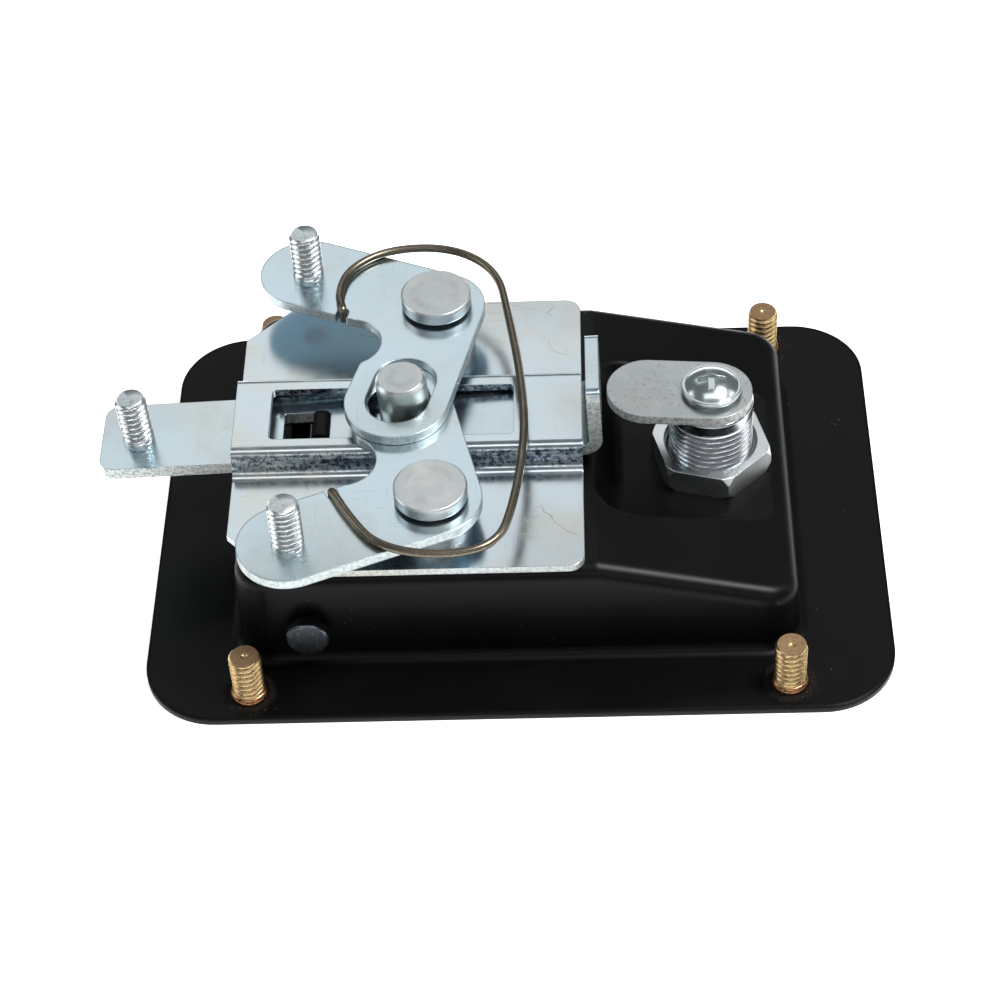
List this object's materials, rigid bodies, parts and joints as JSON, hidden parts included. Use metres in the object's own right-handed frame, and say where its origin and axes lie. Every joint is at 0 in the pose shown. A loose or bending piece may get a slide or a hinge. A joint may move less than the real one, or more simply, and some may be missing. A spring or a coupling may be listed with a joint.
{
  "type": "three_point_paddle_latch",
  "caption": "Flush three-point paddle latch for a cabinet or vehicle door, rear side: black pan, zinc slide bar, two bell-crank levers with rod studs, bow spring and key lock",
  "frame": {"origin": "centre of the four weld studs, on the rear face of the pan's flange", "axes": "+Z towards the rear of the door, out of the flange's rear face along the weld studs; +X along the slide bar towards the key lock; +Y up the door, from the lower lever to the upper lever"},
  "size_m": [0.1491, 0.103, 0.044],
  "materials": {
    "black_powder_coat": "satin powder coat on pressed steel",
    "zinc_plate": "clear passivated zinc plate",
    "zinc_passivated": "zinc plate with a yellowish passivate, threaded",
    "spring_steel": "dull drawn wire",
    "plain_steel": "dark scuffed steel",
    "chromed_zamak": "bright plated die casting",
    "brass": "satin"
  },
  "bodies": {
    "housing": {"pan": "black_powder_coat", "mounting_studs": "zinc_passivated", "guide_plate": "zinc_plate", "upper_pivot_spacer": "zinc_plate", "upper_pivot_rivet": "zinc_plate", "lower_pivot_spacer": "zinc_plate", "lower_pivot_rivet": "zinc_plate", "wire_spring": "spring_steel", "paddle_pin": "plain_steel", "lock_barrel": "chromed_zamak", "lock_nut": "zinc_plate"},
    "paddle": {"paddle": "black_powder_coat", "paddle_tongue": "zinc_plate"},
    "slide": {"slide_bar": "zinc_plate", "drive_pin": "zinc_plate", "slide_rod_stud": "zinc_passivated"},
    "upper_lever": {"upper_lever": "zinc_plate", "upper_rod_stud": "zinc_passivated"},
    "lower_lever": {"lower_lever": "zinc_plate", "lower_rod_stud": "zinc_passivated"},
    "lock_rotor": {"lock_plug": "chromed_zamak", "wafer_tumblers": "brass", "lock_cam": "zinc_plate", "cam_washer": "zinc_plate", "cam_screw": "zinc_plate"}
  },
  "joints": [
    {"name": "paddle_hinge", "type": "hinge", "parent": "housing", "child": "paddle", "pos_m": [-0.0388, 0, 0.0084], "axis": [0, 1, 0], "range_deg": [0, 22], "stiffness_Nm_per_rad": 1.5, "springref_deg": -20.05, "deforming": ["wire_spring"]},
    {"name": "slide_travel", "type": "slide", "parent": "housing", "child": "slide", "axis": [0.9992, 0, 0.0388], "range_m": [0, 0.0062], "deforming": ["wire_spring"]},
    {"name": "upper_lever_turn", "type": "hinge", "parent": "housing", "child": "upper_lever", "pos_m": [-0.015, 0.025, 0.0313], "axis": [0, 0, 1], "range_deg": [0, 14], "deforming": ["wire_spring"]},
    {"name": "lower_lever_turn", "type": "hinge", "parent": "housing", "child": "lower_lever", "pos_m": [-0.015, -0.025, 0.0292], "axis": [0, 0, 1], "range_deg": [-14, 0], "deforming": ["wire_spring"]},
    {"name": "lock_turn", "type": "hinge", "parent": "housing", "child": "lock_rotor", "pos_m": [0.0372, 0, 0.02], "axis": [0, 0, 1], "range_deg": [-90, 0]}
  ],
  "couplings": [
    {"joint": "slide_travel", "follows": "paddle_hinge", "m_per_rad": 0.016146},
    {"joint": "upper_lever_turn", "follows": "paddle_hinge", "ratio": 0.63636},
    {"joint": "lower_lever_turn", "follows": "paddle_hinge", "ratio": -0.63636},
    {"joint": "lock_turn", "follows": "paddle_hinge", "ratio": -4.0909}
  ]
}
